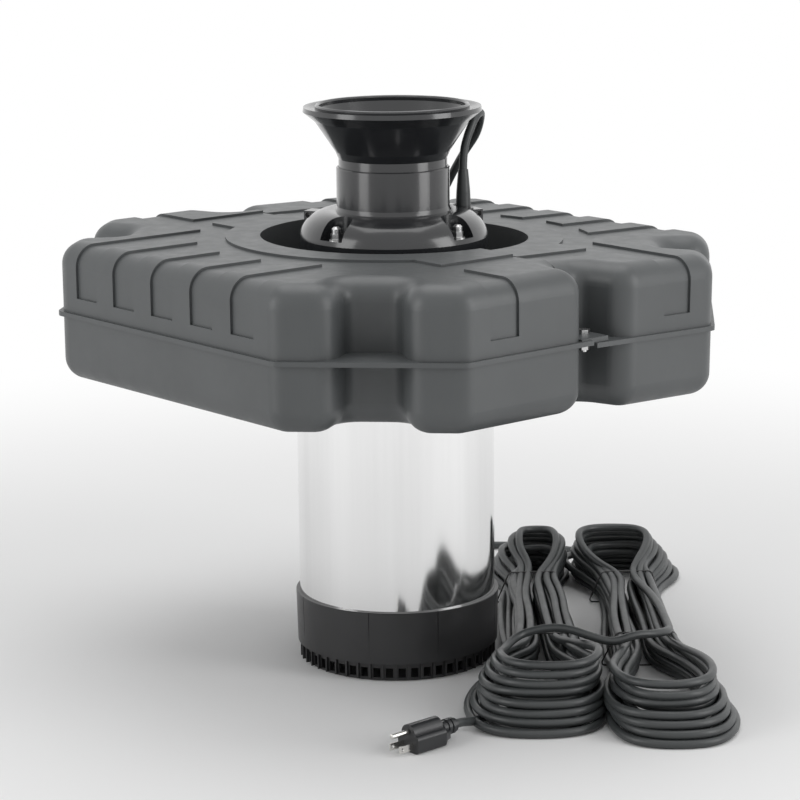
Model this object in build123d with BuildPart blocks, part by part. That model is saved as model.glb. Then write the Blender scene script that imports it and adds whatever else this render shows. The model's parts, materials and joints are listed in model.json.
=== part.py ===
from build123d import *
import os
from math import cos, pi, radians, sin, tan

# Floating pond aerator: a motor pump in a steel sleeve, hung in a two-part moulded float.
# Millimetres. The origin is on the pump axis, on the face that the pump stands on, +Z up.

# Steel sleeve, strainer base
sleeve_radius = 95.0
sleeve_wall = 1.2
sleeve_length = 331.0
sleeve_fit = 0.15
band_radius = 92.5
band_wall = 3.0
band_height = 18.0
base_floor = 3.0
ledge_thick = 6.0
skirt_wall = 3.6
skirt_height = 50.5
slot_count = 48
slot_width = 7.0
slot_height = 9.5
slot_lift = 3.5
rib_width = 1.6
rib_depth = 1.5
panel_half_angle = 19.5
groove_width = 0.9
groove_depth = 1.0
foot_circle = 60.0
foot_radius = 8.0

# Motor
motor_seat = 50.0
motor_radius = 70.0
motor_wall = 2.0
can_length = 244.0
cap_flange = 6.0
cap_spigot = 8.0
cap_fit = 0.1
shaft_radius = 6.0
core_shaft_radius = 11.0
running_gap = 0.05
press_gap = 0.02
bearing_radius = 16.0
bearing_width = 10.0
stack_radius_gap = 0.1
stack_length = 110.0
stack_lift = 54.0
stator_bore = 37.0
air_gap = 0.5
winding_height = 18.0
winding_inner = 42.0
winding_outer = 61.0
winding_bevel = 4.0
capacitor_radius = 12.0
capacitor_length = 38.0
capacitor_circle = 48.0
seal_radius = 12.8
seal_height = 5.0
seal_head_radius = 11.0
seal_head_height = 14.0
nose_radius = 20.0
nose_height = 10.0
arm_width = 15.0
leg_radius = 7.5

# Pump head, impeller
collar_radius = 122.0
collar_thick = 6.0
head_radius = 88.0
head_height = 49.0
chamber_radius = 72.0
spigot_depth = 15.0
spigot_wall = 5.0
eye_radius = 32.0
impeller_radius = 62.0
impeller_lift = 1.5
vane_height = 25.0
vane_thick = 3.0
vane_count = 6
shroud_thick = 3.0
hub_radius = 13.0
locknut_across = 19.0
locknut_height = 7.0
shaft_end_out = 10.0

# Dome with its bolts, lugs and cord gland
dome_turn = 8.5
dome_radius = 90.0
wall_height = 11.0
shoulder_radius = 83.0
shoulder_height = 26.0
crown_radius = 60.0
crown_height = 36.0
pocket_floor = 15.5
cavity_radius = 62.0
stud_circle = 80.0
stud_radius = 3.0
stud_count = 4
stud_grip = 30.0
hole_play = 0.3
pocket_width = 27.0
pocket_depth = 32.0
washer_radius = 7.0
washer_thick = 1.4
nut_across = 10.0
nut_height = 5.0
nut_cap_height = 6.5
nut_cap_radius = 4.4
stud_proud = 4.0
lug_angles = (75.0, 205.0)
lug_inner = 78.0
lug_outer = 91.0
lug_width = 17.0
lug_top = 30.5
lug_hole_radius = 2.4
lug_hole_inset = 4.0
gland_angle = 68.0
gland_circle = 70.5
gland_lift = 27.0
gland_seat_radius = 10.2
gland_radius = 7.2
gland_height = 9.0
relief_base_radius = 7.2
relief_tip_radius = 4.8
relief_length = 34.0
gasket_height = 1.0

# Outlet pipe and spray funnel
pipe_radius = 53.8
pipe_wall = 2.0
pipe_height = 41.0
pipe_flare = 1.4
pipe_flare_height = 2.0
pipe_tail = 9.0
funnel_fit = 0.3
funnel_insert = 28.0
funnel_neck = 8.0
funnel_wall = 3.0
cone_foot_radius = 54.5
cone_foot_height = 7.0
cone_radius = 73.5
cone_height = 35.5
lip_radius = 84.6
lip_rise = 9.0
mouth_radius = 69.5
bead_radius = 1.9
rim_rise = 16.0
groove_drop = 5.0

# Float
float_length = 548.0
float_width = 532.0
corner_cut_x = 109.5
corner_cut_y = 116.0
face_shift = -6.5
float_above = 67.0
float_below = 64.0
seam_below_collar = 5.0
hole_radius = 127.0
valley_mouth = 66.0
valley_floor = 46.0
valley_depth = 42.0
notch_near_mouth = 11.0
notch_near_floor = 8.0
notch_far_mouth = 38.0
notch_far_floor = 24.0
notch_depth = 44.0
end_round = 13.0
outer_round = 24.0
inner_round = 13.0
top_round = 21.0
bottom_round = 21.0
hole_round = 9.0
seam_gap = 4.0
half_drop = 2.8
half_tilt = 1.4
web_thick = 4.4
web_proud = 3.4
web_round = 12.0
tab_length = 32.0
tab_offset = 2.0
tab_gap = 0.05
tab_slack = 0.35
ledge_radius = 100.0
ledge_depth = 10.0
relief_step = 2.4
channel_width = 33.0
channel_pitch = 60.0
channel_start = 17.0
channel_shift = -8.0
end_channel_offset = 105.0
disc_radius = 160.0
pad_length = 171.0
pad_width = 88.0
gutter_radius = 189.0
gutter_length = 202.0
float_bolt_circle = 111.0
float_bolt_radius = 4.0
float_bolt_count = 6
float_bolt_start = 30.0
float_head_height = 5.3
float_head_across = 13.0
float_washer_radius = 8.5
float_washer_thick = 1.6
tab_bolt_radius = 3.0
tab_bolt_offset = 24.0
tab_bolt_reach = 8.0

# Supply cord, its two hanks and its plug, in a frame turned about the pump axis
cord_turn = 50.0
cord_radius = 4.0
cord_rise = 0.1
hank_bevel = 0.28
tie_thick = 0.5
tie_width = 2.0
plug_spot = (9.0, -294.0)
plug_turn = 42.0
plug_width = 27.0
plug_base_height = 16.5
plug_ridge_radius = 8.8
plug_length = 34.0
plug_tail = 9.0
plug_cord_height = 12.5
collar_knob_radius = 7.4
collar_knob_length = 12.0
blade_width = 6.35
blade_thick = 1.5
blade_length = 16.0
blade_spacing = 12.7
blade_hole_radius = 1.6
blade_height = 6.7
pin_radius = 2.4
pin_length = 20.5
pin_over_blades = 11.9

# Heights that follow from the sizes above
ledge_top = band_height + ledge_thick
skirt_radius = sleeve_radius + sleeve_fit + skirt_wall
skirt_top = band_height + skirt_height
collar_z = ledge_top + sleeve_length
head_floor = collar_z + collar_thick
dome_z = collar_z + head_height
can_z = motor_seat + cap_flange
upper_cap_z = can_z + can_length
motor_bore = motor_radius - motor_wall
bore_spigot = motor_bore - cap_fit
lower_bearing_z = can_z + cap_spigot - bearing_width
upper_bearing_z = upper_cap_z - bearing_width
stack_z = can_z + stack_lift
core_radius = stator_bore - air_gap
nose_z = upper_cap_z + cap_flange + nose_height
impeller_z = head_floor + impeller_lift
shroud_z = impeller_z + vane_height
locknut_z = shroud_z + shroud_thick
shaft_end = locknut_z + shaft_end_out
pocket_z = dome_z + pocket_floor
crown_z = dome_z + crown_height
pipe_top = crown_z + pipe_height
pipe_bore = pipe_radius - pipe_wall
funnel_neck_radius = pipe_bore - funnel_fit
neck_top = pipe_top + funnel_neck
cone_top = neck_top + cone_height
rim_top = cone_top + rim_rise
throat_radius = funnel_neck_radius - funnel_wall
seam_z = collar_z - seam_below_collar
half_length = float_length / 2
half_width = float_width / 2
gland_z = dome_z + gland_lift
relief_z = gland_z + gland_height
cord_start_z = relief_z + relief_length
hank_rise = cord_rise + tie_thick + 0.1


def ring(outer, inner, bottom, top):
    """A plain ring about the pump axis."""
    with BuildPart() as body:
        with BuildSketch(Plane.XY.offset(bottom)):
            Circle(outer)
            Circle(inner, mode=Mode.SUBTRACT)
        extrude(amount=top - bottom)
    return body.part


def polar(radius, angle, height=0.0):
    """A point at a radius and an angle about the pump axis."""
    return (radius * cos(radians(angle)), radius * sin(radians(angle)), height)


def save(part, name):
    """Label a finished piece and write its file."""
    part.label = name
    export_step(part, f"parts/{name}.step")


os.makedirs("parts", exist_ok=True)

# Strainer base: slotted band, sleeve ledge, skirt, screw feet
with BuildPart() as strainer_base:
    with BuildSketch(Plane.XZ):
        with BuildLine():
            Polyline(
                (0, 0),
                (band_radius - 2, 0),
                (band_radius, 2),
                (band_radius + 1, band_height),
                (skirt_radius - 1.2, band_height),
                (skirt_radius, skirt_top - 0.6),
                (skirt_radius - 0.6, skirt_top),
                (sleeve_radius + sleeve_fit, skirt_top),
                (sleeve_radius + sleeve_fit, ledge_top),
                (band_radius - band_wall, ledge_top),
                (band_radius - band_wall, base_floor),
                (0, base_floor),
                close=True,
            )
        make_face()
    revolve(axis=Axis.Z)
    with BuildSketch(Plane.XY.offset(base_floor)):
        with PolarLocations(foot_circle, stud_count, start_angle=dome_turn):
            Circle(foot_radius)
    extrude(amount=motor_seat - base_floor)
    with BuildSketch():
        with PolarLocations(foot_circle, stud_count, start_angle=dome_turn):
            Circle(stud_radius + hole_play)
    extrude(amount=motor_seat, mode=Mode.SUBTRACT)
    with BuildSketch():
        with PolarLocations(foot_circle, stud_count, start_angle=dome_turn):
            Circle(nut_across / 2 + hole_play)
    extrude(amount=nut_height, mode=Mode.SUBTRACT)
    with BuildSketch(Plane.XY.offset(slot_lift)):
        with PolarLocations(band_radius - band_wall / 2, slot_count):
            Rectangle(band_wall * 3, slot_width)
    extrude(amount=slot_height, mode=Mode.SUBTRACT)
    with BuildSketch(Plane.XY.offset(slot_lift / 2)):
        with PolarLocations(band_radius + rib_depth / 2, slot_count, start_angle=180 / slot_count):
            Rectangle(rib_depth * 3, rib_width)
    extrude(amount=band_height - slot_lift / 2)
    with BuildSketch(Plane.XY.offset(band_height)):
        for side in (-1, 1):
            start = dome_turn + 45 + side * panel_half_angle
            with PolarLocations(skirt_radius, stud_count, start_angle=start):
                Rectangle(groove_depth * 2, groove_width)
    extrude(amount=skirt_height, mode=Mode.SUBTRACT)
save(strainer_base.part, "strainer_base")

# Screws that hold the base to the motor
with BuildPart() as base_screws:
    with BuildSketch(Plane.XY.offset(1)):
        with PolarLocations(foot_circle, stud_count, start_angle=dome_turn):
            Circle(nut_across / 2)
    extrude(amount=nut_height - 1)
    with BuildSketch(Plane.XY.offset(1)):
        with PolarLocations(foot_circle, stud_count, start_angle=dome_turn):
            RegularPolygon(2.4, 6)
    extrude(amount=2, mode=Mode.SUBTRACT)
    with BuildSketch(Plane.XY.offset(nut_height)):
        with PolarLocations(foot_circle, stud_count, start_angle=dome_turn):
            Circle(stud_radius)
    extrude(amount=motor_seat + cap_flange - 1 - nut_height)
save(base_screws.part, "base_screws")

# Polished steel sleeve
drum_sleeve = ring(sleeve_radius, sleeve_radius - sleeve_wall, ledge_top, collar_z)
save(drum_sleeve, "drum_sleeve")

# Lower motor cap with its bearing seat and screw holes
with BuildPart() as motor_lower_cap:
    with BuildSketch(Plane.XY.offset(motor_seat)):
        Circle(motor_radius)
    extrude(amount=cap_flange)
    with BuildSketch(Plane.XY.offset(can_z)):
        Circle(bore_spigot)
    extrude(amount=cap_spigot)
    with BuildSketch(Plane.XY.offset(can_z + cap_spigot)):
        Circle(bearing_radius + press_gap)
    extrude(amount=-bearing_width, mode=Mode.SUBTRACT)
    with BuildSketch(Plane.XY.offset(motor_seat)):
        with PolarLocations(foot_circle, stud_count, start_angle=dome_turn):
            Circle(stud_radius + press_gap)
    extrude(amount=cap_flange, mode=Mode.SUBTRACT)
save(motor_lower_cap.part, "motor_lower_cap")

# Motor can
motor_can = ring(motor_radius, motor_bore, can_z, upper_cap_z)
save(motor_can, "motor_can")

# Upper motor cap: bearing seat, seal nose, and four legs that hang the motor from the pump head
with BuildPart() as motor_upper_cap:
    with BuildSketch(Plane.XY.offset(upper_cap_z - cap_spigot)):
        Circle(bore_spigot)
    extrude(amount=cap_spigot)
    with BuildSketch(Plane.XY.offset(upper_cap_z)):
        Circle(motor_radius)
        with PolarLocations(stud_circle - leg_radius, stud_count, start_angle=dome_turn):
            Rectangle(2 * leg_radius, arm_width)
        with PolarLocations(stud_circle, stud_count, start_angle=dome_turn):
            Circle(leg_radius)
    extrude(amount=cap_flange)
    with BuildSketch(Plane.XY.offset(upper_cap_z + cap_flange)):
        with PolarLocations(stud_circle, stud_count, start_angle=dome_turn):
            Circle(leg_radius)
    extrude(amount=collar_z - upper_cap_z - cap_flange)
    with BuildSketch(Plane.XY.offset(upper_cap_z + cap_flange)):
        Circle(nose_radius)
    extrude(amount=nose_height, taper=8)
    with BuildSketch(Plane.XY.offset(upper_bearing_z)):
        Circle(bearing_radius + press_gap)
    extrude(amount=bearing_width, mode=Mode.SUBTRACT)
    with BuildSketch(Plane.XY.offset(upper_cap_z)):
        Circle(shaft_radius + 1)
    extrude(amount=cap_flange + nose_height, mode=Mode.SUBTRACT)
    with BuildSketch(Plane.XY.offset(nose_z)):
        Circle(seal_radius + press_gap)
    extrude(amount=-seal_height, mode=Mode.SUBTRACT)
    with BuildSketch(Plane.XY.offset(collar_z)):
        with PolarLocations(stud_circle, stud_count, start_angle=dome_turn):
            Circle(stud_radius + press_gap)
    extrude(amount=-stud_grip, mode=Mode.SUBTRACT)
save(motor_upper_cap.part, "motor_upper_cap")

# Bearings
for name, bottom in (("lower_bearing", lower_bearing_z), ("upper_bearing", upper_bearing_z)):
    with BuildPart() as bearing:
        with BuildSketch(Plane.XY.offset(bottom)):
            Circle(bearing_radius)
            Circle(shaft_radius + running_gap, mode=Mode.SUBTRACT)
        extrude(amount=bearing_width)
        with BuildSketch(Plane.XY.offset(bottom + bearing_width)):
            Circle(bearing_radius - 3)
            Circle(shaft_radius + 3, mode=Mode.SUBTRACT)
        extrude(amount=-1, mode=Mode.SUBTRACT)
    save(bearing.part, name)

# Stator core, its winding heads, and the run capacitor under the upper cap
stator_core = ring(motor_bore - stack_radius_gap, stator_bore, stack_z, stack_z + stack_length)
save(stator_core, "stator_core")

with BuildPart() as stator_windings:
    for bottom in (stack_z - winding_height, stack_z + stack_length):
        with BuildSketch(Plane.XZ) as winding_head:
            with Locations(((winding_inner + winding_outer) / 2, bottom + winding_height / 2)):
                Rectangle(winding_outer - winding_inner, winding_height)
            chamfer(winding_head.vertices(), winding_bevel)
        revolve(axis=Axis.Z)
save(stator_windings.part, "stator_windings")

with BuildPart() as run_capacitor:
    with BuildSketch(Plane.XY.offset(upper_cap_z - cap_spigot)):
        with Locations(polar(capacitor_circle, dome_turn)[:2]):
            Circle(capacitor_radius)
    extrude(amount=-capacitor_length)
save(run_capacitor.part, "run_capacitor")

# Rotor core with end rings, and the stepped shaft
with BuildPart() as rotor_core:
    with BuildSketch(Plane.XY.offset(stack_z - 2)):
        Circle(core_radius)
        Circle(core_shaft_radius + press_gap, mode=Mode.SUBTRACT)
    extrude(amount=stack_length + 4)
    for side, height in ((-1, stack_z - 2), (1, stack_z + stack_length + 2)):
        with BuildSketch(Plane.XY.offset(height)):
            Circle(core_radius - 2)
            Circle(core_radius - 12, mode=Mode.SUBTRACT)
        extrude(amount=side * 6)
save(rotor_core.part, "rotor_core")

with BuildPart() as motor_shaft:
    with BuildSketch(Plane.XY.offset(lower_bearing_z + 0.5)):
        Circle(shaft_radius)
    extrude(amount=shaft_end - lower_bearing_z - 0.5)
    with BuildSketch(Plane.XY.offset(lower_bearing_z + bearing_width + 2)):
        Circle(core_shaft_radius)
    extrude(amount=upper_bearing_z - lower_bearing_z - bearing_width - 4)
    chamfer(motor_shaft.faces().sort_by(Axis.Z)[-1].edges(), 1)
save(motor_shaft.part, "motor_shaft")

# Shaft seal: fixed seat, turning head
seal_seat = ring(seal_radius, shaft_radius + 0.6, nose_z - seal_height, nose_z)
save(seal_seat, "seal_seat")

with BuildPart() as seal_head:
    with BuildSketch(Plane.XY.offset(nose_z + running_gap)):
        Circle(seal_head_radius)
        Circle(shaft_radius + press_gap, mode=Mode.SUBTRACT)
    extrude(amount=seal_head_height, taper=6)
save(seal_head.part, "seal_head")

# Pump head: sleeve spigot, float collar, chamber wall, suction eye
with BuildPart() as pump_head:
    with BuildSketch(Plane.XY.offset(collar_z)):
        Circle(collar_radius)
    extrude(amount=collar_thick)
    with BuildSketch(Plane.XY.offset(head_floor)):
        Circle(head_radius)
    extrude(amount=dome_z - head_floor)
    with BuildSketch(Plane.XY.offset(head_floor)):
        Circle(chamber_radius)
    extrude(amount=dome_z - head_floor, mode=Mode.SUBTRACT)
    with BuildSketch(Plane.XY.offset(collar_z)):
        Circle(sleeve_radius - sleeve_wall - sleeve_fit)
        Circle(sleeve_radius - sleeve_wall - sleeve_fit - spigot_wall, mode=Mode.SUBTRACT)
    extrude(amount=-spigot_depth)
    with BuildSketch(Plane.XY.offset(collar_z)):
        Circle(eye_radius)
    extrude(amount=collar_thick, mode=Mode.SUBTRACT)
    with BuildSketch(Plane.XY.offset(collar_z)):
        with PolarLocations(stud_circle, stud_count, start_angle=dome_turn):
            Circle(stud_radius + hole_play)
    extrude(amount=head_height, mode=Mode.SUBTRACT)
    with BuildSketch(Plane.XY.offset(collar_z)):
        with PolarLocations(float_bolt_circle, float_bolt_count, start_angle=float_bolt_start):
            Circle(float_bolt_radius + hole_play)
    extrude(amount=collar_thick, mode=Mode.SUBTRACT)
    with BuildSketch(Plane.XY.offset(dome_z)):
        Circle(chamber_radius + 4)
        Circle(chamber_radius + 1.5, mode=Mode.SUBTRACT)
    extrude(amount=-gasket_height, mode=Mode.SUBTRACT)
save(pump_head.part, "pump_head")

head_gasket = ring(chamber_radius + 3.9, chamber_radius + 1.6, dome_z - gasket_height, dome_z)
save(head_gasket, "head_gasket")

# Impeller: backward-swept vanes under a shroud disc
with BuildPart() as impeller:
    with BuildSketch(Plane.XY.offset(impeller_z)):
        Circle(hub_radius)
    extrude(amount=vane_height)
    with BuildLine(Plane.XY.offset(impeller_z)):
        vane_path = ThreePointArc(
            polar(hub_radius - 1, 0),
            polar((hub_radius + impeller_radius) / 2, -22),
            polar(impeller_radius - 1, -58),
        )
    with BuildSketch(Plane.XY.offset(impeller_z)) as vane_plan:
        trace(vane_path, vane_thick)
    with BuildSketch(Plane.XY.offset(impeller_z)):
        with PolarLocations(0, vane_count):
            add(vane_plan.sketch.moved(Location((0, 0, -impeller_z))))
    extrude(amount=vane_height)
    with BuildSketch(Plane.XY.offset(shroud_z)):
        Circle(impeller_radius)
    extrude(amount=shroud_thick)
    with BuildSketch(Plane.XY.offset(impeller_z)):
        Circle(shaft_radius + press_gap)
    extrude(amount=vane_height + shroud_thick, mode=Mode.SUBTRACT)
save(impeller.part, "impeller")

with BuildPart() as impeller_nut:
    with BuildSketch(Plane.XY.offset(locknut_z)):
        RegularPolygon(locknut_across / 2, 6, major_radius=False)
        Circle(shaft_radius + press_gap, mode=Mode.SUBTRACT)
    extrude(amount=locknut_height)
save(impeller_nut.part, "impeller_nut")

# Dome: wall, round shoulder, bolt pockets, lifting lugs, gland seat
with BuildPart() as dome_cover:
    with BuildSketch(Plane.XZ):
        with BuildLine():
            Line((0, dome_z), (dome_radius, dome_z))
            Line((dome_radius, dome_z), (dome_radius, dome_z + wall_height))
            ThreePointArc(
                (dome_radius, dome_z + wall_height),
                (shoulder_radius, dome_z + shoulder_height),
                (crown_radius, crown_z),
            )
            Line((crown_radius, crown_z), (0, crown_z))
            Line((0, crown_z), (0, dome_z))
        make_face()
    revolve(axis=Axis.Z)
    for lug_angle in lug_angles:
        with BuildSketch(Plane.XY.offset(dome_z)):
            with Locations(Location(polar((lug_inner + lug_outer) / 2, lug_angle), (0, 0, lug_angle))):
                Rectangle(lug_outer - lug_inner, lug_width)
        extrude(amount=lug_top)
        hole_plane = Plane(
            origin=polar(lug_outer - lug_hole_inset, lug_angle, dome_z + lug_top - lug_hole_inset),
            z_dir=polar(1, lug_angle + 90),
        )
        with BuildSketch(hole_plane):
            Circle(lug_hole_radius)
        extrude(amount=lug_width, both=True, mode=Mode.SUBTRACT)
    with BuildSketch(Plane.XZ):
        with BuildLine():
            Polyline(
                (0, dome_z),
                (cavity_radius, dome_z),
                (cavity_radius, dome_z + 12),
                (pipe_bore, crown_z - pipe_tail),
                (pipe_bore, crown_z),
                (0, crown_z),
                close=True,
            )
        make_face()
    revolve(axis=Axis.Z, mode=Mode.SUBTRACT)
    with BuildSketch(Plane.XY.offset(pocket_z)):
        with PolarLocations(stud_circle + dome_radius / 2 - pocket_depth / 2, stud_count, start_angle=dome_turn):
            SlotOverall(dome_radius, pocket_width)
    extrude(amount=crown_height, mode=Mode.SUBTRACT)
    with BuildSketch(Plane.XY.offset(dome_z)):
        with PolarLocations(stud_circle, stud_count, start_angle=dome_turn):
            Circle(stud_radius + hole_play)
    extrude(amount=crown_height, mode=Mode.SUBTRACT)
    with BuildSketch(Plane.XY.offset(gland_z)):
        with Locations(polar(gland_circle, gland_angle)[:2]):
            Circle(gland_seat_radius)
    extrude(amount=crown_height, mode=Mode.SUBTRACT)
save(dome_cover.part, "dome_cover")

# Dome studs, washers and capped nuts in their pockets
nut_z = pocket_z + washer_thick
with BuildPart() as dome_studs:
    with BuildSketch(Plane.XY.offset(collar_z - stud_grip)):
        with PolarLocations(stud_circle, stud_count, start_angle=dome_turn):
            Circle(stud_radius)
    extrude(amount=nut_z + nut_height + stud_proud - collar_z + stud_grip)
save(dome_studs.part, "dome_studs")

with BuildPart() as dome_washers:
    with BuildSketch(Plane.XY.offset(pocket_z)):
        with PolarLocations(stud_circle, stud_count, start_angle=dome_turn):
            Circle(washer_radius)
            Circle(stud_radius + hole_play, mode=Mode.SUBTRACT)
    extrude(amount=washer_thick)
save(dome_washers.part, "dome_washers")

with BuildPart() as dome_nuts:
    with BuildSketch(Plane.XY.offset(nut_z)):
        with PolarLocations(stud_circle, stud_count, start_angle=dome_turn):
            RegularPolygon(nut_across / 2, 6, major_radius=False)
    extrude(amount=nut_height)
    with BuildSketch(Plane.XY.offset(nut_z + nut_height)):
        with PolarLocations(stud_circle, stud_count, start_angle=dome_turn):
            Circle(nut_cap_radius)
    extrude(amount=nut_cap_height)
    chamfer(dome_nuts.faces().group_by(Axis.Z)[-1].edges(), nut_cap_radius * 0.45)
    with BuildSketch(Plane.XY.offset(nut_z)):
        with PolarLocations(stud_circle, stud_count, start_angle=dome_turn):
            Circle(stud_radius + press_gap)
    extrude(amount=nut_height + stud_proud, mode=Mode.SUBTRACT)
save(dome_nuts.part, "dome_nuts")

# Outlet pipe, its foot flared onto the dome
with BuildPart() as outlet_pipe:
    with BuildSketch(Plane.XZ):
        with BuildLine():
            Polyline(
                (pipe_bore - 2, crown_z - pipe_tail),
                (pipe_bore - press_gap, crown_z - pipe_tail),
                (pipe_bore - press_gap, crown_z),
                (pipe_radius + pipe_flare, crown_z),
                (pipe_radius + 0.6, crown_z + pipe_flare_height),
                (pipe_radius, crown_z + 2 * pipe_flare_height),
                (pipe_radius, pipe_top - 0.8),
                (pipe_radius - 0.8, pipe_top),
                (pipe_bore, pipe_top),
                (pipe_bore, crown_z + 2),
                (pipe_bore - 2, crown_z),
                close=True,
            )
        make_face()
    revolve(axis=Axis.Z)
save(outlet_pipe.part, "outlet_pipe")

# Spray funnel: push-in spigot, cone, grooved rim with a rounded inner bead
with BuildPart() as spray_funnel:
    with BuildSketch(Plane.XZ):
        with BuildLine():
            Polyline(
                (throat_radius, pipe_top - funnel_insert),
                (funnel_neck_radius, pipe_top - funnel_insert),
                (funnel_neck_radius, neck_top),
                (cone_foot_radius, neck_top + cone_foot_height),
                (cone_radius, cone_top),
                (lip_radius, cone_top + lip_rise),
                (lip_radius - 0.6, rim_top - 2.5),
                (lip_radius - 3.4, rim_top - 3),
                (mouth_radius + 2 * bead_radius + 2, rim_top - groove_drop),
                (mouth_radius + 2 * bead_radius, rim_top - groove_drop),
                (mouth_radius + 2 * bead_radius, rim_top - bead_radius),
                (mouth_radius + 1.5 * bead_radius, rim_top - 0.3 * bead_radius),
                (mouth_radius + bead_radius, rim_top),
                (mouth_radius + 0.5 * bead_radius, rim_top - 0.3 * bead_radius),
                (mouth_radius, rim_top - bead_radius),
                (mouth_radius, rim_top - groove_drop),
                (throat_radius, neck_top),
                (throat_radius, pipe_top - funnel_insert),
                close=True,
            )
        make_face()
    revolve(axis=Axis.Z)
save(spray_funnel.part, "spray_funnel")

# Cord gland and its tapered strain relief
gland_plane = Plane(origin=polar(gland_circle, gland_angle, gland_z))
with BuildPart() as cable_gland:
    with BuildSketch(gland_plane):
        Circle(gland_radius)
    extrude(amount=gland_height)
    with BuildSketch(gland_plane.offset(1.5)):
        RegularPolygon(gland_radius + 1.4, 6, major_radius=False)
    extrude(amount=gland_height * 0.5)
save(cable_gland.part, "cable_gland")

relief_plane = Plane(origin=polar(gland_circle, gland_angle, relief_z), x_dir=(1, 0, 0), z_dir=(0, -1, 0))
with BuildPart() as strain_relief:
    with BuildSketch(relief_plane):
        with BuildLine():
            Polyline(
                (0, 0),
                (relief_base_radius, 0),
                (relief_base_radius - 0.6, relief_length * 0.4),
                (relief_tip_radius, relief_length),
                (0, relief_length),
                close=True,
            )
        make_face()
    revolve(axis=Axis(relief_plane.origin, (0, 0, 1)))
save(strain_relief.part, "strain_relief")


def corner_ends(sx, sy):
    """Where one corner's cut meets the float's end face and its long face."""
    end = Vector(sx * half_length, sy * (half_width - corner_cut_y))
    face = Vector(sx * (half_length - corner_cut_x) + face_shift, sy * half_width)
    return end, face


def float_plan(inset):
    """Plan of the whole float: cut corners split by valleys, a notch beside each seam."""
    points = []
    radii = []
    for sx, sy in ((1, -1), (-1, -1), (-1, 1), (1, 1)):
        end, face = corner_ends(sx, sy)
        middle = (end + face) / 2
        along = (face - end).normalized()
        inward = Vector(-sx * abs(along.Y), -sy * abs(along.X))
        far = sx * sy > 0
        notch_mouth = notch_far_mouth if far else notch_near_mouth
        notch_floor = notch_far_floor if far else notch_near_floor
        run = [
            (Vector(sx * (half_length - notch_depth), sy * notch_floor), inner_round),
            (Vector(sx * half_length, sy * notch_mouth), outer_round if far else end_round),
            (end, outer_round),
            (middle - along * (valley_mouth / 2), outer_round),
            (middle - along * (valley_floor / 2) + inward * valley_depth, inner_round),
            (middle + along * (valley_floor / 2) + inward * valley_depth, inner_round),
            (middle + along * (valley_mouth / 2), outer_round),
            (face, outer_round),
        ]
        if far:
            run = run[::-1]
        points += [point for point, _ in run]
        radii += [radius for _, radius in run]
    with BuildSketch() as plan:
        with BuildLine():
            FilletPolyline(*points, radius=radii, close=True)
        make_face()
        if inset > 0:
            offset(amount=-inset)
    return plan.sketch


def float_shell(inset):
    """The whole float with rounded edges, its walls and faces moved in by the inset."""
    with BuildPart() as body:
        with BuildSketch(Plane.XY.offset(seam_z - float_below + inset)):
            add(float_plan(inset))
        extrude(amount=float_below + float_above - 2 * inset)
        fillet(body.faces().sort_by(Axis.Z)[-1].edges(), top_round - inset)
        fillet(body.faces().sort_by(Axis.Z)[0].edges(), bottom_round - inset)
    return body.part


# Raised plates of the float, told from the lower channels and gutter between them
with BuildPart() as channels:
    with BuildSketch(Plane.XY.offset(seam_z + channel_start)) as lowered:
        with Locations((channel_shift, 0)):
            with GridLocations(channel_pitch, 0, 5, 1):
                Rectangle(channel_width, float_width + 20)
        with GridLocations(0, 2 * end_channel_offset, 1, 2):
            Rectangle(float_length + 20, channel_width)
        Circle(gutter_radius)
        Rectangle(2 * gutter_length, 2 * end_channel_offset - channel_width)
        Circle(disc_radius, mode=Mode.SUBTRACT)
        Rectangle(2 * pad_length, 2 * pad_width, mode=Mode.SUBTRACT)
    extrude(amount=float_above)
    add(float_shell(relief_step), mode=Mode.SUBTRACT)

with BuildPart() as float_body:
    add(float_shell(0))
    add(channels.part, mode=Mode.SUBTRACT)
    with BuildSketch(Plane.XY.offset(seam_z - float_below - 1)):
        Circle(hole_radius)
    extrude(amount=float_above + float_below + 2, mode=Mode.SUBTRACT)


# Pinched web that runs round the float and bridges its valleys and notches
with BuildPart() as float_web:
    with BuildSketch(Plane.XY.offset(-web_thick / 2)) as web_plan:
        with BuildLine():
            Polyline(
                *corner_ends(1, -1),
                *reversed(corner_ends(-1, -1)),
                *corner_ends(-1, 1),
                *reversed(corner_ends(1, 1)),
                close=True,
            )
        make_face()
        offset(amount=web_proud, kind=Kind.INTERSECTION)
        fillet(web_plan.vertices(), web_round)
        Circle(hole_radius, mode=Mode.SUBTRACT)
    extrude(amount=web_thick)

tab_height = seam_z - half_drop + web_thick / 2
tab_middle = (float_length - notch_depth) / 2 + web_proud
tab_bolt_x = half_length + web_proud - tab_bolt_offset
tab_bolt_places = [(tab_bolt_x, tab_bolt_reach), (-tab_bolt_x, -tab_bolt_reach)]
over_tab = tab_height + tab_gap
under_tab = seam_z - 1.5 * web_thick - tab_gap


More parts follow.
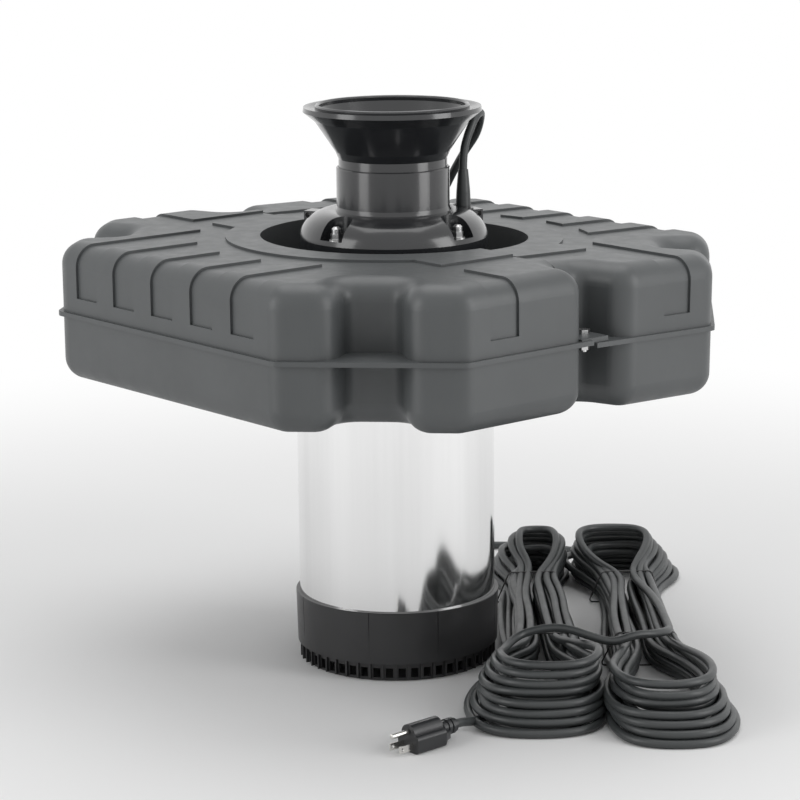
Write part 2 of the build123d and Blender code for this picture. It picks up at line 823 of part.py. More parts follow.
def float_half(side):
    """One half: side -1 is the front half, side +1 the rear half, which hangs lower towards its far end."""
    rear = side > 0
    drop = half_drop if rear else 0.0
    hang = Location((0, 0, seam_z - drop), (-half_tilt if rear else 0.0, 0, 0))
    keep = Keep.TOP if rear else Keep.BOTTOM
    with BuildPart() as moulding:
        with Locations(hang):
            add(float_body.part.moved(Location((0, 0, -seam_z))))
            add(float_web.part)
        with BuildSketch(Plane.XY.offset(collar_z)):
            Circle(hole_radius + 2)
            Circle(ledge_radius, mode=Mode.SUBTRACT)
        extrude(amount=-ledge_depth)
        split(bisect_by=Plane(origin=(0, side * seam_gap / 2, 0), z_dir=(0, 1, 0)), keep=keep)
        with BuildSketch(Plane.XY.offset(under_tab if rear else over_tab)):
            with Locations((-side * tab_middle, -side * tab_offset)):
                Rectangle(notch_depth - 6, tab_length)
        extrude(amount=web_thick)
        with BuildSketch(Plane.XY.offset(seam_z - web_thick * 3)):
            with Locations(*tab_bolt_places):
                Circle(tab_bolt_radius + hole_play)
        extrude(amount=web_thick * 6, mode=Mode.SUBTRACT)
        with BuildSketch(Plane.XY.offset(collar_z)):
            with PolarLocations(float_bolt_circle, float_bolt_count, start_angle=float_bolt_start):
                Circle(float_bolt_radius + hole_play)
        extrude(amount=-ledge_depth, mode=Mode.SUBTRACT)
    return moulding.part


save(float_half(-1), "float_half_front")
save(float_half(1), "float_half_rear")

# Bolts that clamp the collar to the float's ledge, with washers and nuts
with BuildPart() as float_bolts:
    with BuildSketch(Plane.XY.offset(head_floor + float_washer_thick)):
        with PolarLocations(float_bolt_circle, float_bolt_count, start_angle=float_bolt_start):
            RegularPolygon(float_head_across / 2, 6, major_radius=False)
    extrude(amount=float_head_height)
    with BuildSketch(Plane.XY.offset(head_floor + float_washer_thick)):
        with PolarLocations(float_bolt_circle, float_bolt_count, start_angle=float_bolt_start):
            Circle(float_bolt_radius)
    extrude(amount=-(collar_thick + ledge_depth + 3 * float_washer_thick + float_head_height))
save(float_bolts.part, "float_bolts")

with BuildPart() as float_washers:
    for bottom in (head_floor, collar_z - ledge_depth - float_washer_thick):
        with BuildSketch(Plane.XY.offset(bottom)):
            with PolarLocations(float_bolt_circle, float_bolt_count, start_angle=float_bolt_start):
                Circle(float_washer_radius)
                Circle(float_bolt_radius + hole_play, mode=Mode.SUBTRACT)
        extrude(amount=float_washer_thick)
save(float_washers.part, "float_washers")

with BuildPart() as float_nuts:
    with BuildSketch(Plane.XY.offset(collar_z - ledge_depth - float_washer_thick)):
        with PolarLocations(float_bolt_circle, float_bolt_count, start_angle=float_bolt_start):
            RegularPolygon(float_head_across / 2, 6, major_radius=False)
            Circle(float_bolt_radius + press_gap, mode=Mode.SUBTRACT)
    extrude(amount=-float_head_height)
save(float_nuts.part, "float_nuts")

# Bolts and nuts through each half's tab and the other half's web, which the tab laps in a notch
laps = [
    (tab_bolt_places[0], over_tab + web_thick, tab_height - web_thick - tab_slack),
    (tab_bolt_places[1], seam_z + web_thick / 2, under_tab),
]
with BuildPart() as tab_bolts:
    for place, top, bottom in laps:
        with BuildSketch(Plane.XY.offset(top)):
            with Locations(place):
                RegularPolygon(nut_across / 2, 6, major_radius=False)
        extrude(amount=4)
        with BuildSketch(Plane.XY.offset(top)):
            with Locations(place):
                Circle(tab_bolt_radius)
        extrude(amount=bottom - nut_height - 2 - top)
save(tab_bolts.part, "tab_bolts")

with BuildPart() as tab_nuts:
    for place, top, bottom in laps:
        with BuildSketch(Plane.XY.offset(bottom)):
            with Locations(place):
                RegularPolygon(nut_across / 2, 6, major_radius=False)
                Circle(tab_bolt_radius + press_gap, mode=Mode.SUBTRACT)
        extrude(amount=-nut_height)
save(tab_nuts.part, "tab_nuts")


def turned(x, y, z):
    """A point of the cord's frame, which is turned about the pump axis, in the pump's frame."""
    angle = radians(cord_turn)
    return Vector(x * cos(angle) - y * sin(angle), x * sin(angle) + y * cos(angle), z)


def corner_radii(points):
    """The largest even radii that the runs beside each corner leave room for."""
    radii = []
    for before, here, after in zip(points, points[1:], points[2:]):
        turn = (here - before).get_angle(after - here)
        short = min((here - before).length, (after - here).length)
        radii.append(0.45 * short / tan(radians(turn / 2)))
    return radii


def cord_tube(name, route, hanks=()):
    """A stretch of cord along its route, straight runs joined by tangent arcs, ended at the hanks."""
    points = [turned(*point) for point in route]
    radii = corner_radii(points)
    print(name, "radii", [round(radius) for radius in radii])
    with BuildPart() as tube:
        with BuildLine() as path:
            FilletPolyline(*points, radius=radii)
        with BuildSketch(Plane(origin=points[0], z_dir=points[1] - points[0])):
            Circle(cord_radius)
        sweep(path=path.wire())
        length = path.wire().length
        share = tube.part.volume / (pi * cord_radius**2 * length)
        for bundle in hanks:
            add(bundle, mode=Mode.SUBTRACT)
    print(name, "length", round(length), "volume share", round(share, 4))
    save(tube.part, name)


def across(x, y):
    """An upright plane across a hank's run, its origin on the floor under the hank."""
    return Plane(origin=turned(x, y, hank_rise), x_dir=turned(1, 0, 0), z_dir=turned(0, -1, 0))


def hank(name, stations):
    """The outer shape of a hank, lofted through its stations of place, width and height."""
    with BuildPart() as bundle:
        for x, y, width, height in stations:
            with BuildSketch(across(x, y)) as section:
                with Locations((0, height / 2)):
                    Rectangle(width, height)
                chamfer(section.vertices(), height * hank_bevel)
        loft(ruled=True)
    save(bundle.part, name)
    return bundle.part


# Two hanks: a wide fan of loops at each end, two tied waists between
near_waists = [(142, -60, 88, 42), (137, 165, 66, 36)]
far_waists = [(236, -60, 90, 42), (236, 165, 72, 38)]
near_hank = hank(
    "cord_hank_near",
    [
        (122, -268, 44, 24),
        (127, -236, 102, 56),
        (128, -160, 120, 58),
        near_waists[0],
        (140, 60, 70, 36),
        near_waists[1],
        (139, 240, 84, 46),
        (139, 318, 40, 30),
    ],
)
far_hank = hank(
    "cord_hank_far",
    [
        (249, -301, 44, 24),
        (248, -268, 96, 56),
        (245, -190, 102, 58),
        far_waists[0],
        (236, 60, 80, 36),
        far_waists[1],
        (240, 240, 108, 48),
        (234, 322, 44, 30),
    ],
)

# Thin ties round the waists of the hanks
with BuildPart() as hank_ties:
    for x, y, width, height in near_waists + far_waists:
        with BuildSketch(across(x, y)) as band:
            with Locations((0, height / 2)):
                Rectangle(width + 2 * tie_thick, height + 2 * tie_thick)
            chamfer(band.vertices(), height * hank_bevel)
        extrude(amount=tie_width / 2, both=True)
    add(near_hank, mode=Mode.SUBTRACT)
    add(far_hank, mode=Mode.SUBTRACT)
save(hank_ties.part, "hank_ties")

# Cord from the strain relief, over one loop, behind the neck and down the back of the float
floor_z = cord_radius + cord_rise
float_lay = seam_z - half_drop + float_above + cord_radius - 2.5
gland_x = gland_circle * cos(radians(gland_angle - cord_turn))
gland_y = gland_circle * sin(radians(gland_angle - cord_turn))
supply_route = [
    (gland_x, gland_y, cord_start_z),
    (gland_x, gland_y, cord_start_z + 16),
    (gland_x + 5, gland_y + 3, cord_start_z + 34),
    (gland_x + 12, gland_y + 11, cord_start_z + 49),
    (gland_x + 18, gland_y + 24, cord_start_z + 53),
    (gland_x + 18, gland_y + 35, cord_start_z + 44),
    (gland_x + 14, gland_y + 43, cord_start_z + 28),
    (gland_x + 3, gland_y + 48, cord_start_z + 12),
    (gland_x - 8, gland_y + 52, cord_start_z - 8),
    (gland_x - 17, gland_y + 62, cord_start_z - 28),
    (gland_x - 26, gland_y + 80, cord_start_z - 44),
    (gland_x - 35, gland_y + 110, float_lay + 2),
    (gland_x - 41, gland_y + 152, float_lay),
    (gland_x - 40, gland_y + 198, float_lay),
    (gland_x - 37, gland_y + 240, float_lay + 3),
    (gland_x - 36, gland_y + 274, float_lay - 7),
    (gland_x - 36, gland_y + 297, float_lay - 32),
    (gland_x - 37, gland_y + 305, float_lay - 70),
    (gland_x - 38, gland_y + 307, float_lay - 126),
    (gland_x - 38, gland_y + 308, float_lay - 192),
    (gland_x - 37, gland_y + 310, float_lay - 258),
    (gland_x - 35, gland_y + 314, float_lay - 320),
    (gland_x - 30, gland_y + 324, floor_z + 52),
    (gland_x - 18, gland_y + 340, floor_z + 16),
    (gland_x + 8, gland_y + 356, floor_z + 1),
    (gland_x + 50, gland_y + 362, floor_z),
    (gland_x + 96, gland_y + 356, floor_z),
    (gland_x + 136, gland_y + 336, floor_z + 2),
    (gland_x + 159, gland_y + 306, floor_z + 7),
    (232, 300, hank_rise + 12.5),
]
cord_tube("supply_cord", supply_route, (far_hank,))

# Strand that leaves one hank and runs over the gap into the other
bridge_route = [
    (137, -112, 47),
    (159, -113, 57),
    (181, -115, 54),
    (203, -113, 51),
    (224, -107, 56),
    (243, -98, 45),
]
cord_tube("cord_bridge", bridge_route, (near_hank, far_hank))


def plug_plane(along):
    """A plane across the plug, its origin on the floor, a distance back from the plug's face."""
    direction = (cos(radians(plug_turn)), sin(radians(plug_turn)))
    x = plug_spot[0] + along * direction[0]
    y = plug_spot[1] + along * direction[1]
    return Plane(
        origin=turned(x, y, cord_rise),
        x_dir=turned(-direction[1], direction[0], 0),
        z_dir=turned(*direction, 0),
    )


# Three-pin plug: flat base, round ridge over the ground pin, ribbed collar
with BuildPart() as plug_body:
    with BuildSketch(plug_plane(0)):
        with Locations((0, plug_base_height / 2)):
            RectangleRounded(plug_width, plug_base_height, 4)
        with Locations((0, plug_base_height)):
            Circle(plug_ridge_radius)
    extrude(amount=plug_length)
    with BuildSketch(plug_plane(plug_length)):
        with Locations((0, plug_base_height / 2)):
            RectangleRounded(plug_width, plug_base_height, 4)
        with Locations((0, plug_base_height)):
            Circle(plug_ridge_radius)
    extrude(amount=plug_tail, taper=28)
    with BuildSketch(plug_plane(plug_length)):
        with Locations((0, plug_cord_height)):
            Circle(collar_knob_radius - 1)
    extrude(amount=plug_tail + collar_knob_length)
    for step in (1, 6):
        with BuildSketch(plug_plane(plug_length + plug_tail + step)):
            with Locations((0, plug_cord_height)):
                Circle(collar_knob_radius)
        extrude(amount=3.5)
save(plug_body.part, "plug_body")

with BuildPart() as plug_blades:
    with BuildSketch(plug_plane(0)):
        with Locations((0, blade_height)):
            with GridLocations(blade_spacing, 0, 2, 1):
                Rectangle(blade_thick, blade_width)
    extrude(amount=-blade_length)
    blade_hole = plug_plane(3 - blade_length)
    with BuildSketch(Plane(origin=blade_hole.from_local_coords((0, blade_height, 0)), z_dir=blade_hole.x_dir)):
        Circle(blade_hole_radius)
    extrude(amount=blade_spacing, both=True, mode=Mode.SUBTRACT)
save(plug_blades.part, "plug_blades")

with BuildPart() as plug_ground_pin:
    with BuildSketch(plug_plane(0)):
        with Locations((0, blade_height + pin_over_blades)):
            Circle(pin_radius)
    extrude(amount=-pin_length)
    chamfer(plug_ground_pin.edges().filter_by(GeomType.CIRCLE), 1)
save(plug_ground_pin.part, "plug_ground_pin")

# Lead between the near hank and the plug
lead_start = plug_length + plug_tail + collar_knob_length
lead_step = (cos(radians(plug_turn)), sin(radians(plug_turn)))
lead_x = plug_spot[0] + lead_start * lead_step[0]
lead_y = plug_spot[1] + lead_start * lead_step[1]
lead_route = [
    (lead_x, lead_y, cord_rise + plug_cord_height),
    (lead_x + 9 * lead_step[0], lead_y + 9 * lead_step[1], cord_rise + plug_cord_height),
    (lead_x + 18, lead_y + 20, cord_rise + plug_cord_height - 3),
    (lead_x + 41, lead_y + 44, cord_rise + plug_cord_height - 3),
]
cord_tube("plug_lead", lead_route, (near_hank,))
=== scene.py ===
import json
from math import cos, pi, radians, sin
import random

import bpy
from mathutils import Matrix, Vector


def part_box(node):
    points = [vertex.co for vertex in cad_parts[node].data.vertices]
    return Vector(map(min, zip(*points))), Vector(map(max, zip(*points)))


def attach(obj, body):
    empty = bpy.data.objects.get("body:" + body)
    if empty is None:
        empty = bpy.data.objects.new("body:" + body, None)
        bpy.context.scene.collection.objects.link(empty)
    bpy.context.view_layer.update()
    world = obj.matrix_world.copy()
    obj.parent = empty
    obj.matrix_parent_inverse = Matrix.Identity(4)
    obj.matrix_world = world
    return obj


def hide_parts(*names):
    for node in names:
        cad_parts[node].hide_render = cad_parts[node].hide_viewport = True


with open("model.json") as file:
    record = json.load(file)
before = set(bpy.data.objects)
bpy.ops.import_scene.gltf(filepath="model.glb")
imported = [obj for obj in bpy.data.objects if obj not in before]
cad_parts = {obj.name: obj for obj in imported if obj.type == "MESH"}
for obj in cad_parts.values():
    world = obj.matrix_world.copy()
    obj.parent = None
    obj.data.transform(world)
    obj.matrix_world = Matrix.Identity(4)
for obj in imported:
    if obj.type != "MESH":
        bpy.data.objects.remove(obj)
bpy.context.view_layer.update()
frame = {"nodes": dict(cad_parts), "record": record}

random.seed(11)

MM = 0.001
NODES = frame["nodes"]

# The photograph's camera, in a frame turned about the pump axis
VIEW_TURN = radians(50)
CAMERA_SPOT = (7.45, -2657.1, 830.5)
CAMERA_PITCH = radians(12.245)
CAMERA_ROLL = -0.010
FOCAL_PIXELS = 2819.2
FRAME_PIXELS = 800
CENTRE_PIXELS = 403.06

# Cord
CORD_RADIUS = 4.0
TURNS = 13
STRAND_PITCH = 9.2
ROW_PITCH = 8.2
LEVEL_PITCH = 7.4
FLOOR_Z = 4.1
TIE_RADIUS = 0.8

# Sizes of the pump that the cord's route follows
RELIEF_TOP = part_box("strain_relief")[1][2] / MM
FLOAT_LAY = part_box("float_half_front")[1][2] / MM + CORD_RADIUS - 5.3
GLAND_X = 67.0
GLAND_Y = 21.8


def turned(x, y, z):
    """A point of the cord's frame in millimetres, as a point of the row frame in metres."""
    c, s = cos(VIEW_TURN), sin(VIEW_TURN)
    return Vector((x * c - y * s, x * s + y * c, z)) * MM


def make_camera():
    """The photograph's camera."""
    data = bpy.data.cameras.new("camera")
    data.sensor_width = 36
    data.lens = FOCAL_PIXELS / FRAME_PIXELS * 36
    data.shift_x = (FRAME_PIXELS / 2 - CENTRE_PIXELS) / FRAME_PIXELS
    data.clip_end = 30
    camera = bpy.data.objects.new("camera", data)
    bpy.context.scene.collection.objects.link(camera)
    turn = Matrix.Rotation(VIEW_TURN, 4, "Z")
    tilt = Matrix.Rotation(pi / 2 - CAMERA_PITCH, 4, "X")
    roll = Matrix.Rotation(CAMERA_ROLL, 4, "Z")
    camera.matrix_world = Matrix.Translation(turned(*CAMERA_SPOT)) @ turn @ tilt @ roll
    bpy.context.scene.camera = camera


make_camera()


# Each turn of a hank: level and ring in the end fans, then row and column in the waist's bundle.
# They run from the floor up, and from the outside in.
PLACES = [
    (0, 0, 0, 3),
    (1, 0, 0, 2),
    (0, 1, 0, 1),
    (1, 1, 0, 0),
    (2, 0, 1, 2),
    (3, 0, 1, 1),
    (2, 1, 1, 0),
    (4, 0, 2, 2),
    (3, 1, 2, 1),
    (4, 1, 2, 0),
    (5, 0, 3, 2),
    (6, 0, 3, 1),
    (7, 0, 3, 0),
]

# One side of a fan's loop: share of its reach, share of the way to its tip, share of the climb
FAN_SIDE = (
    (0.60, 0.26, 0.30),
    (0.93, 0.50, 0.65),
    (1.05, 0.72, 0.95),
    (0.88, 0.90, 1.0),
    (0.42, 0.99, 1.0),
)


def wobble(size):
    """A small seeded offset."""
    return random.uniform(-size, size)


class Hank:
    """The shape that a hank's turns follow, in millimetres in the cord's frame."""

    def __init__(self, front, back, front_half, back_half, waists, lean, spread):
        self.front = front
        self.back = back
        self.front_half = front_half
        self.back_half = back_half
        self.waists = waists
        self.lean = lean
        self.spread = spread

    def slot(self, place, side, waist):
        """Where a turn's strand passes a waist: side is -1 at the left and 1 at the right."""
        _, _, row, column = place
        x, y = self.waists[waist]
        across = (column + 0.5) * STRAND_PITCH * self.spread[waist] + 1.6 * (row % 2) * side
        return Vector((x + side * across, y, FLOOR_Z + row * ROW_PITCH))

    def fan(self, place, at_front):
        """A turn's loop at one end: control points from past the left waist round to the right one."""
        level, ring, _, _ = place
        tip_x, tip_y = self.front if at_front else self.back
        half = self.front_half if at_front else self.back_half
        way = -1 if at_front else 1
        waist = 0 if at_front else 1
        lag = 5.6 if at_front else 7.0
        reach = half - (2.2 if at_front else 3.0) * level - 12 * ring + wobble(2.5)
        tip_y -= way * (4 + lag * level + 15 * ring + wobble(3.5))
        middle = tip_x + self.lean * level + wobble(3.5)
        height = FLOOR_Z + LEVEL_PITCH * level
        tilt = wobble(2.2)
        points = []
        for side in (-1, 1):
            slot = self.slot(place, side, waist)
            run = abs(tip_y - slot.y)
            lift = max(0, 7 - 1.6 * level) if side < 0 and at_front else 0
            edge = []
            for share, along, rise in FAN_SIDE:
                x = middle + side * reach * share + wobble(1.4)
                z = slot.z + (height - slot.z) * rise + (side * tilt + lift) * share * min(1, 2 - 2 * along)
                edge.append(Vector((x, slot.y + way * run * along, max(FLOOR_Z, z + wobble(0.5)))))
            points.append(edge)
        return points[0] + points[1][::-1]

    def body(self, start, end, side):
        """A strand between the two waists, a little out of line."""
        points = []
        for share in (0.3, 0.62):
            drift = Vector((side * 1.5 + wobble(3.2), wobble(9), wobble(1.2)))
            points.append(start.lerp(end, share) + drift)
        return [start] + [Vector((q.x, q.y, max(FLOOR_Z, q.z))) for q in points] + [end]

    def run(self, place, following, side):
        """From a turn's place at the back waist to the next one's at the front waist."""
        return self.body(self.slot(place, side, 1), self.slot(following, side, 0), side)


NEAR = Hank((127, -266), (138, 312), 60, 42, ((142, -52), (138, 165)), 1.6, (1.13, 0.92))
FAR = Hank((248, -300), (238, 316), 56, 56, ((237, -52), (236, 165)), -1.4, (1.10, 0.98))


def supply_route():
    """From the strain relief over one loop, behind the neck, over the float's back corner, to the floor."""
    start = RELIEF_TOP
    return [
        Vector(p)
        for p in (
            (GLAND_X, GLAND_Y, start),
            (GLAND_X, GLAND_Y, start + 16),
            (GLAND_X + 5, GLAND_Y + 3, start + 34),
            (GLAND_X + 12, GLAND_Y + 11, start + 49),
            (GLAND_X + 18, GLAND_Y + 24, start + 53),
            (GLAND_X + 18, GLAND_Y + 35, start + 44),
            (GLAND_X + 14, GLAND_Y + 43, start + 28),
            (GLAND_X + 3, GLAND_Y + 48, start + 12),
            (GLAND_X - 8, GLAND_Y + 52, start - 8),
            (GLAND_X - 17, GLAND_Y + 62, start - 28),
            (GLAND_X - 26, GLAND_Y + 80, start - 44),
            (GLAND_X - 35, GLAND_Y + 110, FLOAT_LAY + 2),
            (GLAND_X - 41, GLAND_Y + 152, FLOAT_LAY),
            (GLAND_X - 40, GLAND_Y + 198, FLOAT_LAY),
            (GLAND_X - 37, GLAND_Y + 240, FLOAT_LAY + 3),
            (GLAND_X - 36, GLAND_Y + 274, FLOAT_LAY - 7),
            (GLAND_X - 36, GLAND_Y + 297, FLOAT_LAY - 32),
            (GLAND_X - 37, GLAND_Y + 305, FLOAT_LAY - 70),
            (GLAND_X - 38, GLAND_Y + 307, FLOAT_LAY - 126),
            (GLAND_X - 38, GLAND_Y + 308, FLOAT_LAY - 192),
            (GLAND_X - 37, GLAND_Y + 310, FLOAT_LAY - 258),
            (GLAND_X - 35, GLAND_Y + 314, FLOAT_LAY - 320),
            (GLAND_X - 30, GLAND_Y + 324, FLOOR_Z + 52),
            (GLAND_X - 18, GLAND_Y + 340, FLOOR_Z + 16),
            (GLAND_X + 8, GLAND_Y + 356, FLOOR_Z + 1),
            (GLAND_X + 50, GLAND_Y + 362, FLOOR_Z),
            (GLAND_X + 96, GLAND_Y + 352, FLOOR_Z),
            (GLAND_X + 136, GLAND_Y + 326, FLOOR_Z + 1),
        )
    ]


def bridge_route():
    """From the top of the far hank's front waist over to the top of the near one's loops."""
    return [
        Vector(p)
        for p in (
            (262, -50, 38),
            (258, -78, 43),
            (243, -97, 46),
            (224, -105, 48),
            (203, -112, 42),
            (181, -112, 49),
            (159, -107, 56),
            (137, -104, 55),
            (113, -106, 49),
        )
    ]


def plug_route():
    """From the near hank's last strand, under its loops, to the plug's collar."""
    return [
        Vector(p)
        for p in (
            (102, -110, FLOOR_Z),
            (92, -165, FLOOR_Z),
            (82, -205, FLOOR_Z),
            (72, -226, FLOOR_Z + 1),
            (62, -243, FLOOR_Z + 6),
            (56, -251, FLOOR_Z + 8.5),
            (50, -257, FLOOR_Z + 8.5),
        )
    ]


def cord_points():
    """The whole cord: pump, far hank, strand between the hanks, near hank, plug."""
    last = TURNS - 1
    points = supply_route()
    for index in range(TURNS):
        place = PLACES[index]
        following = PLACES[min(index + 1, last)]
        back = FAR.fan(place, False)
        points += back[len(back) // 2:] if index == 0 else back
        if index < last:
            points += FAR.run(place, place, 1)
            points += FAR.fan(place, True)[::-1]
            points += FAR.run(following, place, -1)[::-1]
    points += [FAR.slot(PLACES[last], 1, 1), Vector((258, 60, 36))]
    points += bridge_route()
    for index in reversed(range(TURNS)):
        place = PLACES[index]
        front = NEAR.fan(place, True)
        points += front[1:] if index == last else front
        points += NEAR.run(place, place, 1)[::-1]
        points += NEAR.fan(place, False)[::-1]
        if index > 0:
            points += NEAR.run(place, PLACES[index - 1], -1)
    points += [NEAR.slot(PLACES[0], -1, 1), Vector((104, 60, FLOOR_Z)), Vector((108, -30, FLOOR_Z))]
    points += plug_route()
    return points


def make_cord():
    """The cord as one smooth curve through its route."""
    route = cord_points()
    data = bpy.data.curves.new("supply_line", "CURVE")
    data.dimensions = "3D"
    spline = data.splines.new("NURBS")
    spline.points.add(len(route) - 1)
    for point, place in zip(spline.points, route):
        point.co = (*turned(*place), 1)
        point.radius = CORD_RADIUS * MM
    spline.order_u = 3
    spline.use_endpoint_u = True
    spline.resolution_u = 5
    data.bevel_depth = 1
    data.bevel_resolution = 4
    data.use_fill_caps = True
    cord = bpy.data.objects.new("supply_line", data)
    bpy.context.scene.collection.objects.link(cord)
    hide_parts("supply_cord", "cord_hank_far", "cord_bridge", "cord_hank_near", "plug_lead")
    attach(cord, "pump")
    return cord


cord = make_cord()


def wrap(points):
    """The convex outline round a set of points, in order."""
    ordered = sorted(points)
    outline = []
    for sweep in (ordered, ordered[::-1]):
        chain = []
        for x, z in sweep:
            while len(chain) > 1:
                (ax, az), (bx, bz) = chain[-2:]
                if (bx - ax) * (z - az) - (bz - az) * (x - ax) > 0:
                    break
                chain.pop()
            chain.append((x, z))
        outline += chain[:-1]
    return outline


def make_ties():
    """Thin coated wire pulled round each waist."""
    data = bpy.data.curves.new("wire_ties", "CURVE")
    data.dimensions = "3D"
    for hank in (NEAR, FAR):
        for waist in (0, 1):
            rim = []
            for place in PLACES:
                for side in (-1, 1):
                    slot = hank.slot(place, side, waist)
                    for step in range(12):
                        turn = 2 * pi * step / 12
                        reach = CORD_RADIUS + TIE_RADIUS
                        rim.append((slot.x + reach * cos(turn), max(TIE_RADIUS, slot.z + reach * sin(turn))))
            outline = wrap(rim)
            spline = data.splines.new("POLY")
            spline.points.add(len(outline) - 1)
            for index, (point, (x, z)) in enumerate(zip(spline.points, outline)):
                point.co = (*turned(x, slot.y + 2 * sin(0.9 * index), z), 1)
                point.radius = TIE_RADIUS * MM
            spline.use_cyclic_u = True
    data.bevel_depth = 1
    data.bevel_resolution = 2
    ties = bpy.data.objects.new("wire_ties", data)
    bpy.context.scene.collection.objects.link(ties)
    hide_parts("hank_ties")
    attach(ties, "pump")
    return ties


ties = make_ties()


def node_tree(name):
    """A new material and helpers to add its nodes."""
    material = bpy.data.materials.new(name)
    material.use_nodes = True
    tree = material.node_tree
    shader = tree.nodes["Principled BSDF"]
    return material, tree, shader


def add_node(tree, kind, **values):
    """One node with its inputs set by name."""
    node = tree.nodes.new(kind)
    for key, value in values.items():
        if key in node.inputs:
            node.inputs[key].default_value = value
        else:
            setattr(node, key, value)
    return node


def noise(tree, scale, detail=4.0, rough=0.5):
    """Noise in object space, in metres."""
    place = tree.nodes.new("ShaderNodeTexCoord")
    texture = add_node(tree, "ShaderNodeTexNoise")
    texture.inputs["Scale"].default_value = scale
    texture.inputs["Detail"].default_value = detail
    texture.inputs["Roughness"].default_value = rough
    tree.links.new(place.outputs["Object"], texture.inputs["Vector"])
    return texture


def ramp(tree, source, low, high, start=0.3, end=0.7):
    """Two colours over a value."""
    node = tree.nodes.new("ShaderNodeValToRGB")
    node.color_ramp.elements[0].position = start
    node.color_ramp.elements[1].position = end
    node.color_ramp.elements[0].color = (*low, 1)
    node.color_ramp.elements[1].color = (*high, 1)
    tree.links.new(source, node.inputs["Fac"])
    return node


def spread(tree, source, low, high):
    """A value moved to a range."""
    node = tree.nodes.new("ShaderNodeMapRange")
    node.inputs["From Min"].default_value = 0.3
    node.inputs["From Max"].default_value = 0.7
    node.inputs["To Min"].default_value = low
    node.inputs["To Max"].default_value = high
    tree.links.new(source, node.inputs["Value"])
    return node


def moulded(name, colour, rough, grain_scale, grain_depth, tint=0.25, coat=0.0, metal=0.0):
    """Moulded plastic, rubber or plain metal: mottled colour, uneven sheen and a fine grain."""
    material, tree, shader = node_tree(name)
    broad = noise(tree, 14, 3)
    low = tuple(c * (1 - tint) for c in colour)
    high = tuple(c * (1 + tint) for c in colour)
    tree.links.new(ramp(tree, broad.outputs["Fac"], low, high).outputs["Color"], shader.inputs["Base Color"])
    worn = noise(tree, 60, 5, 0.6)
    sheen = spread(tree, worn.outputs["Fac"], rough * 0.88, rough * 1.12)
    tree.links.new(sheen.outputs["Result"], shader.inputs["Roughness"])
    fine = noise(tree, grain_scale, 3)
    bump = tree.nodes.new("ShaderNodeBump")
    bump.inputs["Strength"].default_value = 1
    bump.inputs["Distance"].default_value = grain_depth * MM
    tree.links.new(fine.outputs["Fac"], bump.inputs["Height"])
    tree.links.new(bump.outputs["Normal"], shader.inputs["Normal"])
    shader.inputs["Coat Weight"].default_value = coat
    shader.inputs["Coat Roughness"].default_value = 0.12
    shader.inputs["Metallic"].default_value = metal
    return material


def brushed(name, colour, rough, stretch):
    """Sheet metal drawn along its height: streaks that follow the draw."""
    material, tree, shader = node_tree(name)
    place = tree.nodes.new("ShaderNodeTexCoord")
    scale = tree.nodes.new("ShaderNodeMapping")
    scale.inputs["Scale"].default_value = stretch
    tree.links.new(place.outputs["Object"], scale.inputs["Vector"])
    streaks = add_node(tree, "ShaderNodeTexNoise")
    streaks.inputs["Scale"].default_value = 90
    streaks.inputs["Detail"].default_value = 4
    tree.links.new(scale.outputs["Vector"], streaks.inputs["Vector"])
    low = tuple(c * 0.95 for c in colour)
    tint = ramp(tree, streaks.outputs["Fac"], low, colour)
    tree.links.new(tint.outputs["Color"], shader.inputs["Base Color"])
    sheen = spread(tree, streaks.outputs["Fac"], rough * 0.85, rough * 1.2)
    tree.links.new(sheen.outputs["Result"], shader.inputs["Roughness"])
    shader.inputs["Metallic"].default_value = 1
    return material


MATERIALS = {
    "float_plastic": moulded("float_plastic", (0.075, 0.080, 0.082), 0.42, 900, 0.05, 0.06),
    "dome_plastic": moulded("dome_plastic", (0.018, 0.019, 0.021), 0.22, 500, 0.02, 0.1, 0.5),
    "base_plastic": moulded("base_plastic", (0.020, 0.020, 0.021), 0.36, 700, 0.03, 0.1),
    "gland_plastic": moulded("gland_plastic", (0.022, 0.023, 0.025), 0.32, 700, 0.03, 0.1),
    "cord_rubber": moulded("cord_rubber", (0.045, 0.049, 0.050), 0.40, 1200, 0.05, 0.12),
    "tie_plastic": moulded("tie_plastic", (0.012, 0.012, 0.012), 0.4, 900, 0.02),
    "seal_rubber": moulded("seal_rubber", (0.03, 0.03, 0.03), 0.5, 900, 0.03),
    "impeller_plastic": moulded("impeller_plastic", (0.05, 0.05, 0.055), 0.35, 700, 0.03),
    "capacitor_plastic": moulded("capacitor_plastic", (0.6, 0.6, 0.57), 0.4, 700, 0.02, 0.05),
    "sleeve_steel": brushed("sleeve_steel", (0.86, 0.86, 0.86), 0.11, (1, 1, 0.02)),
    "fastener_steel": moulded("fastener_steel", (0.60, 0.60, 0.60), 0.28, 900, 0.02, 0.1, 0.0, 1.0),
    "bearing_steel": moulded("bearing_steel", (0.55, 0.55, 0.56), 0.25, 900, 0.01, 0.08, 0.0, 1.0),
    "core_steel": brushed("core_steel", (0.28, 0.28, 0.30), 0.45, (0.05, 0.05, 6)),
    "motor_casting": moulded("motor_casting", (0.45, 0.46, 0.47), 0.45, 500, 0.06, 0.12, 0.0, 1.0),
    "winding_copper": brushed("winding_copper", (0.50, 0.20, 0.08), 0.35, (1, 1, 6)),
    "plug_metal": moulded("plug_metal", (0.72, 0.71, 0.68), 0.2, 900, 0.01, 0.06, 0.0, 1.0),
}

for part in frame["record"]["subparts"]:
    node = NODES[part["node"]]
    node.data.materials.clear()
    node.data.materials.append(MATERIALS[part["material_slot"]])
cord.data.materials.append(MATERIALS["cord_rubber"])
ties.data.materials.append(MATERIALS["tie_plastic"])


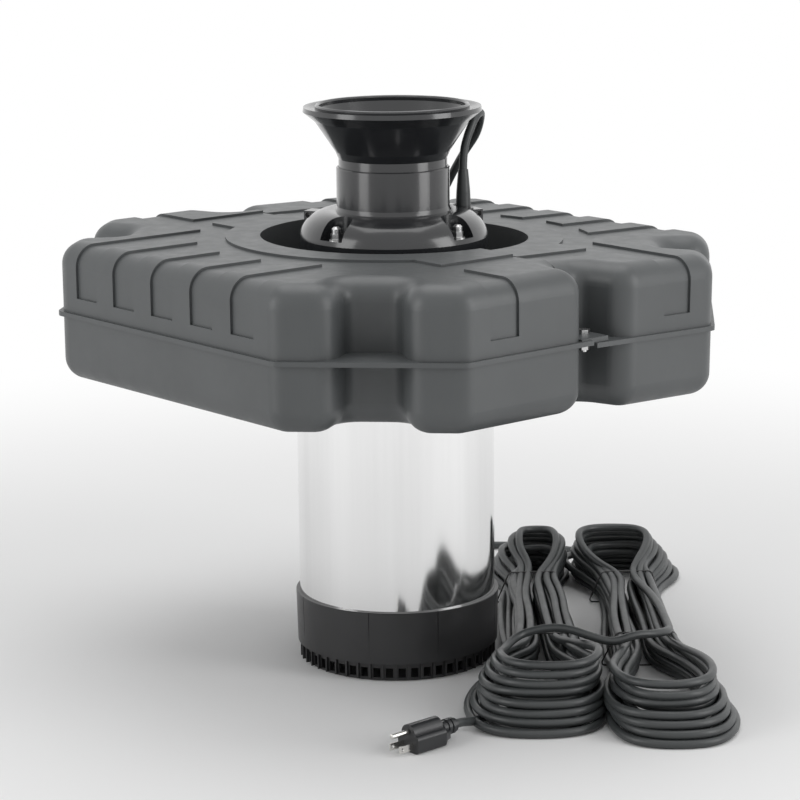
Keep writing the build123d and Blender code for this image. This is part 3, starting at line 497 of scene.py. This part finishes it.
def straight_rays(tree):
    """1 for the rays that show the backdrop: the camera's, and those that metal or glass sends on."""
    rays = tree.nodes.new("ShaderNodeLightPath")
    total = rays.outputs["Is Camera Ray"]
    for name in ("Is Glossy Ray", "Is Transmission Ray"):
        larger = add_node(tree, "ShaderNodeMath", operation="MAXIMUM")
        tree.links.new(total, larger.inputs[0])
        tree.links.new(rays.outputs[name], larger.inputs[1])
        total = larger.outputs[0]
    return total


def make_floor():
    """A plain pale floor that keeps the shadow, and runs out into the white backdrop."""
    bpy.ops.mesh.primitive_plane_add(size=60)
    floor = bpy.context.object
    floor.name = "floor"
    material, tree, shader = node_tree("floor_paper")
    shader.inputs["Base Color"].default_value = (*FLOOR_COLOUR, 1)
    shader.inputs["Roughness"].default_value = 0.9
    shader.inputs["Specular IOR Level"].default_value = 0.1
    place = tree.nodes.new("ShaderNodeTexCoord")
    away = add_node(tree, "ShaderNodeVectorMath", operation="LENGTH")
    tree.links.new(place.outputs["Object"], away.inputs[0])
    fade = add_node(tree, "ShaderNodeMapRange", interpolation_type="SMOOTHSTEP")
    fade.inputs["From Min"].default_value = FLOOR_FADE[0]
    fade.inputs["From Max"].default_value = FLOOR_FADE[1]
    tree.links.new(away.outputs["Value"], fade.inputs["Value"])
    share = add_node(tree, "ShaderNodeMath", operation="MULTIPLY")
    tree.links.new(fade.outputs["Result"], share.inputs[0])
    tree.links.new(straight_rays(tree), share.inputs[1])
    backdrop = add_node(tree, "ShaderNodeEmission")
    mix = tree.nodes.new("ShaderNodeMixShader")
    tree.links.new(share.outputs[0], mix.inputs[0])
    tree.links.new(shader.outputs[0], mix.inputs[1])
    tree.links.new(backdrop.outputs[0], mix.inputs[2])
    tree.links.new(mix.outputs[0], tree.nodes["Material Output"].inputs["Surface"])
    floor.data.materials.append(material)


def make_world():
    """Soft light from all round, and a white backdrop that metal shows too."""
    world = bpy.data.worlds.new("studio")
    bpy.context.scene.world = world
    world.use_nodes = True
    tree = world.node_tree
    strength = tree.nodes.new("ShaderNodeMapRange")
    strength.inputs["To Min"].default_value = AMBIENT
    strength.inputs["To Max"].default_value = 1
    tree.links.new(straight_rays(tree), strength.inputs["Value"])
    background = tree.nodes["Background"]
    background.inputs["Color"].default_value = (1, 1, 1, 1)
    tree.links.new(strength.outputs["Result"], background.inputs["Strength"])


def make_lights():
    """Two tall softboxes and one overhead."""
    for spot, size, power in SOFTBOXES:
        data = bpy.data.lights.new("softbox", "AREA")
        data.shape = "RECTANGLE"
        data.size = size[0] * MM
        data.size_y = size[1] * MM
        data.energy = power
        light = bpy.data.objects.new("softbox", data)
        bpy.context.scene.collection.objects.link(light)
        place = turned(*spot)
        light.location = place
        light.rotation_euler = (turned(0, 0, 300) - place).to_track_quat("-Z", "Y").to_euler()


# Studio: floor colour, where it fades into the backdrop in metres, ambient strength,
# and the softboxes by place, size and power
FLOOR_COLOUR = (0.86, 0.86, 0.86)
FLOOR_FADE = (0.45, 1.5)
AMBIENT = 0.5
SOFTBOXES = (
    ((-1900, -1050, 900), (900, 1700), 14),
    ((1950, -900, 900), (900, 1700), 18),
    ((0, 300, 2300), (1800, 1800), 18),
)

make_floor()
make_world()
make_lights()
scene = bpy.context.scene
scene.view_settings.view_transform = "Standard"
